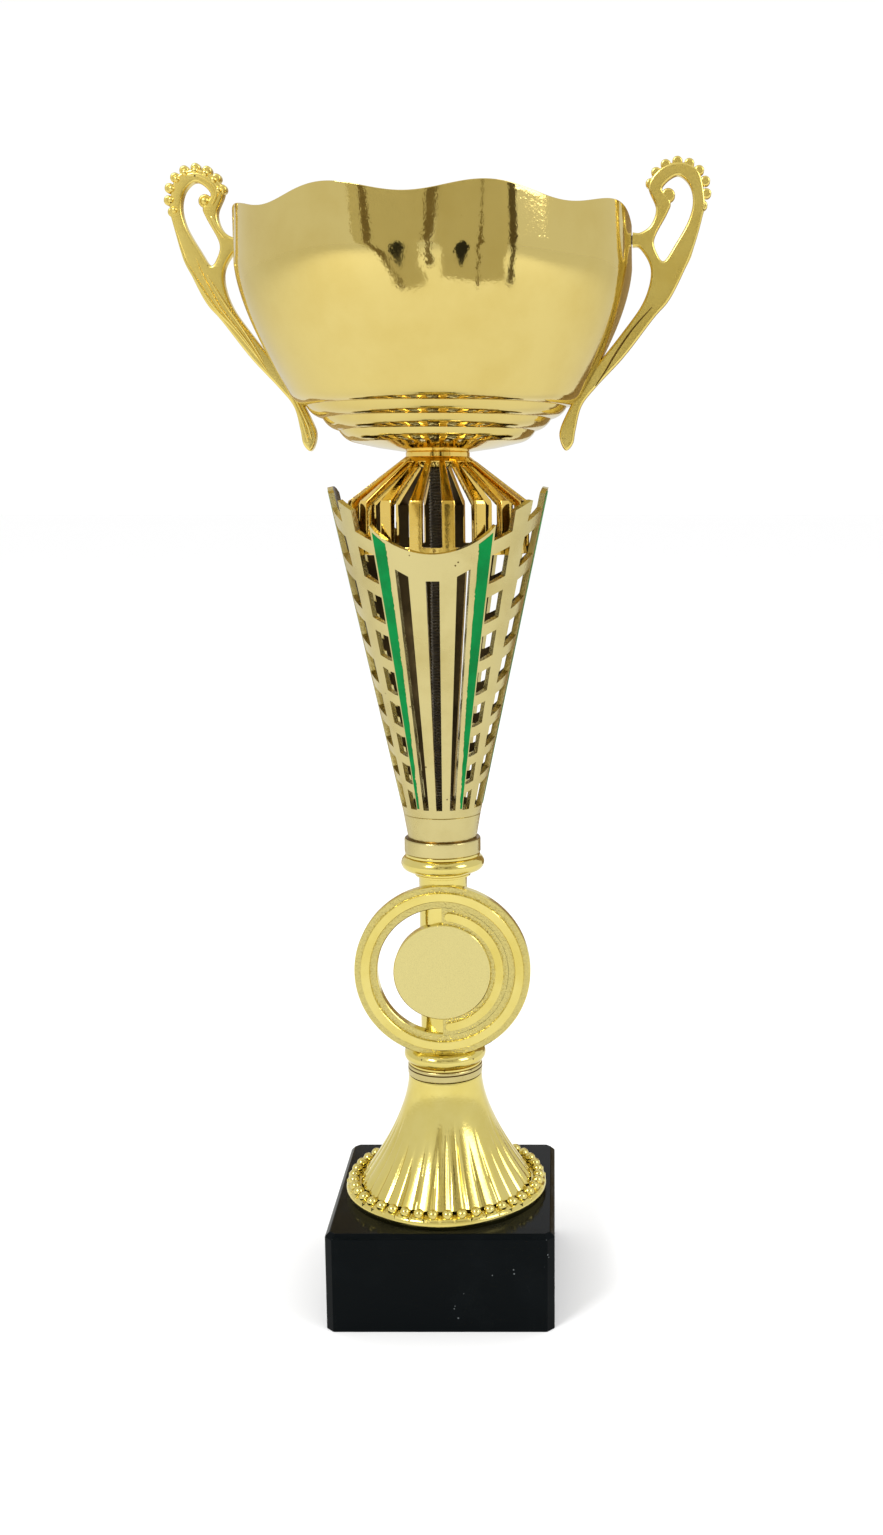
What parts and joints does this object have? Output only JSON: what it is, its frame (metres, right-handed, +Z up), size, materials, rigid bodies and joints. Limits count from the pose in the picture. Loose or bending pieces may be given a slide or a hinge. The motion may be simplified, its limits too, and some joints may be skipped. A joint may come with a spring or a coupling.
{
  "type": "cup trophy",
  "caption": "Gold cup trophy: scalloped bowl with scroll handles on a pierced cone, emblem riser, fluted foot and dark stone plinth, clamped by a threaded rod.",
  "frame": {"origin": "centre of the plinth's underside, the face that the trophy stands on", "axes": "+Z up along the tie rod, -Y towards the viewer of the emblem seat, +X to that viewer's right"},
  "size_m": [0.1378, 0.1, 0.2987],
  "materials": {
    "stone": "polished near-black marble with pale specks",
    "gold_casting": "vacuum-metallised plastic, bright mirror gold",
    "pale_gold": "metallised plastic, pale champagne gold, soft gloss",
    "amber_gold": "metallised plastic, deep amber mirror gold",
    "gold_bowl": "spun sheet metal, polished mirror gold",
    "handle_gold": "metallised plastic casting, polished gold with darker hollows",
    "green_enamel": "hand-laid glossy green enamel with ragged inner edges",
    "steel": "zinc-plated steel"
  },
  "bodies": {
    "root": {"plinth": "stone", "foot": "gold_casting", "lower_collar": "pale_gold", "medallion_riser": "gold_casting", "upper_collar": "pale_gold", "lattice_cone": "pale_gold", "front_stripes": "green_enamel", "back_stripes": "green_enamel", "side_stripes": "green_enamel", "crown_cap": "amber_gold", "bowl": "gold_bowl", "left_handle": "handle_gold", "right_handle": "handle_gold", "left_handle_clips": "steel", "right_handle_clips": "steel", "tie_rod": "steel", "base_washer": "steel", "base_nut": "steel", "bowl_washer": "steel", "bowl_nut": "steel"}
  },
  "joints": []
}
